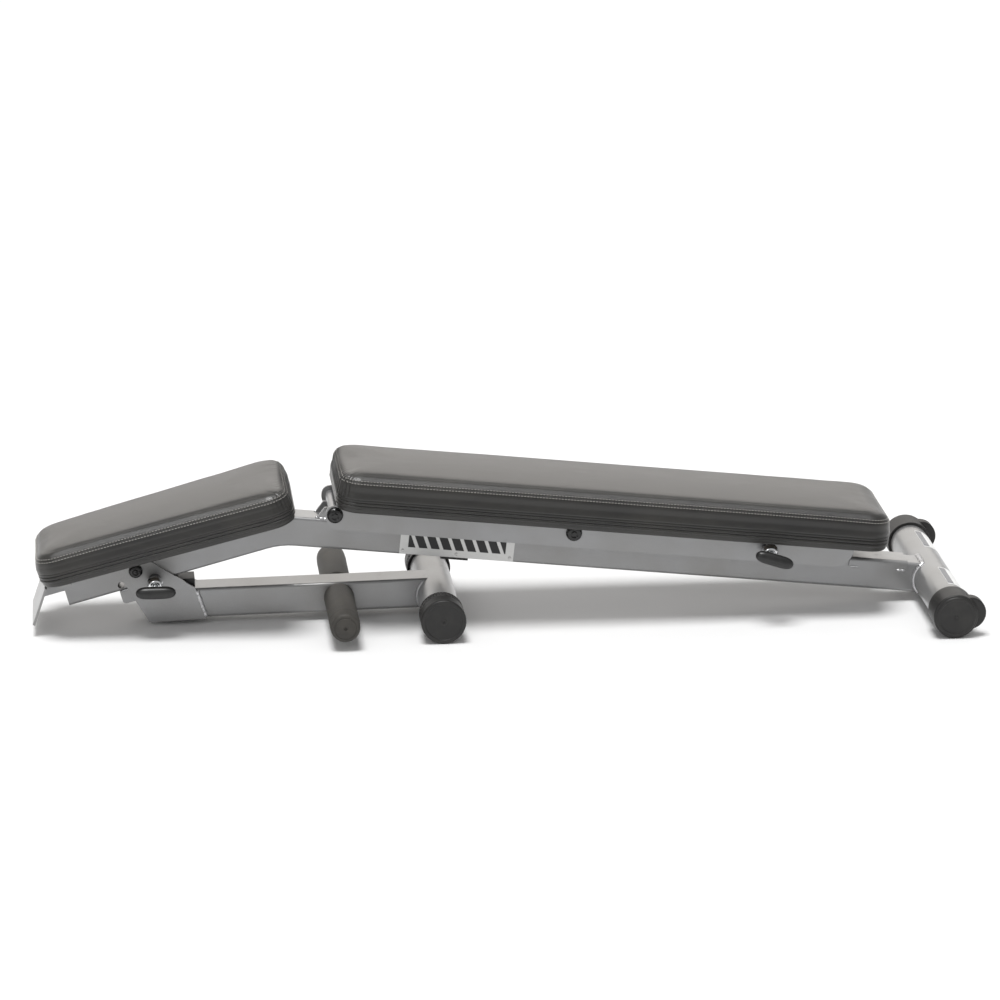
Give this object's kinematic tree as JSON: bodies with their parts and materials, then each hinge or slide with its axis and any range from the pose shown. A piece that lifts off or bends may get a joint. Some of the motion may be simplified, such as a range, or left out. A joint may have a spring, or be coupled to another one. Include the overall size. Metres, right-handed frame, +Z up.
{
  "type": "adjustable weight bench",
  "caption": "Low folding exercise bench with a level seat, tilting backrest on a prop strut, fold-out front leg with foot pegs, cross feet and transport rollers.",
  "frame": {"origin": "under the middle of the folded bench, at floor level", "axes": "+X along the bench from the seat end to the rear feet, -Y the user's left, +Z up"},
  "size_m": [1.567, 0.4556, 0.2725],
  "materials": {
    "frame_paint": "light silver grey paint, semi gloss",
    "cushion_vinyl": "dark charcoal vinyl with fine grain",
    "foam": "open cell foam",
    "plywood": "plain plywood",
    "cap_rubber": "black moulded rubber",
    "grip_rubber": "dark grey foam rubber grip",
    "black_plastic": "black moulded plastic",
    "chrome": "polished chrome",
    "zinc_steel": "zinc plated steel",
    "brass_bush": "plain bush",
    "name_metal": "satin aluminium plate"
  },
  "bodies": {
    "frame": {"main_tube": "frame_paint", "rear_crosstube": "frame_paint", "rear_cap_left": "cap_rubber", "rear_cap_right": "cap_rubber", "roller_axles": "zinc_steel", "rear_saddle": "frame_paint", "rack_strips": "frame_paint", "hinge_lugs": "frame_paint", "hinge_sleeve": "frame_paint", "rest_stop": "cap_rubber", "frame_bumper": "cap_rubber", "pivot_bushing": "brass_bush", "stop_gussets": "frame_paint", "front_tongue": "frame_paint", "tube_end_plug": "black_plastic", "front_end_plate": "frame_paint", "nameplate": "name_metal", "nameplate_rivets": "zinc_steel", "seat_cover": "cushion_vinyl", "seat_foam": "foam", "seat_straps": "frame_paint", "seat_board": "plywood", "seat_screws": "zinc_steel"},
    "roller_left": {"transport_roller_left": "cap_rubber"},
    "roller_right": {"transport_roller_right": "cap_rubber"},
    "leg": {"leg_tube": "frame_paint", "leg_bracket_left": "frame_paint", "leg_bracket_right": "frame_paint", "leg_end_plug": "cap_rubber", "front_crosstube": "frame_paint", "front_cap_left": "cap_rubber", "front_cap_right": "cap_rubber", "foot_bar": "zinc_steel", "foot_grip_left": "grip_rubber", "foot_grip_right": "grip_rubber", "leg_pivot_bolt": "zinc_steel", "leg_bolt_caps": "black_plastic", "leg_pin_housing": "frame_paint", "leg_pin_dome": "chrome", "leg_pin_spring": "zinc_steel"},
    "leg_pin": {"leg_pin_plunger": "zinc_steel", "leg_pin_handle": "black_plastic"},
    "backrest": {"back_cover": "cushion_vinyl", "back_foam": "foam", "back_board": "plywood", "back_screws": "zinc_steel", "back_straps": "frame_paint", "back_rail_left": "frame_paint", "back_rail_right": "frame_paint", "hinge_bolt": "zinc_steel", "strut_pivot_bolts": "zinc_steel", "back_bolt_caps": "black_plastic", "back_pin_housing": "frame_paint", "back_pin_dome": "chrome", "back_pin_spring": "zinc_steel"},
    "back_pin": {"back_pin_plunger": "zinc_steel", "back_pin_handle": "black_plastic"},
    "strut": {"strut_bars": "frame_paint", "strut_foot_bar": "frame_paint", "strut_brace": "frame_paint"}
  },
  "joints": [
    {"name": "leg_fold", "type": "hinge", "parent": "frame", "child": "leg", "pos_m": [-0.61139, 0, 0.09772], "axis": [0, 1, 0], "range_deg": [0, 105]},
    {"name": "backrest_tilt", "type": "hinge", "parent": "frame", "child": "backrest", "pos_m": [-0.28107, 0, 0.19324], "axis": [0, -1, 0], "range_deg": [0, 52]},
    {"name": "strut_swing", "type": "hinge", "parent": "backrest", "child": "strut", "pos_m": [0.11654, 0, 0.14963], "axis": [0, -1, 0], "range_deg": [-104, 0]},
    {"name": "leg_pin_pull", "type": "slide", "parent": "leg", "child": "leg_pin", "axis": [0, -1, 0], "range_m": [-0.01, 0]},
    {"name": "back_pin_pull", "type": "slide", "parent": "backrest", "child": "back_pin", "axis": [0, -1, 0], "range_m": [-0.01, 0]},
    {"name": "roller_left_spin", "type": "hinge", "parent": "frame", "child": "roller_left", "pos_m": [0.75597, 0, 0.04035], "axis": [0, 1, 0], "continuous": true},
    {"name": "roller_right_spin", "type": "hinge", "parent": "frame", "child": "roller_right", "pos_m": [0.75597, 0, 0.04035], "axis": [0, 1, 0], "continuous": true}
  ],
  "couplings": [
    {"joint": "strut_swing", "follows": "backrest_tilt", "ratio": -2}
  ]
}
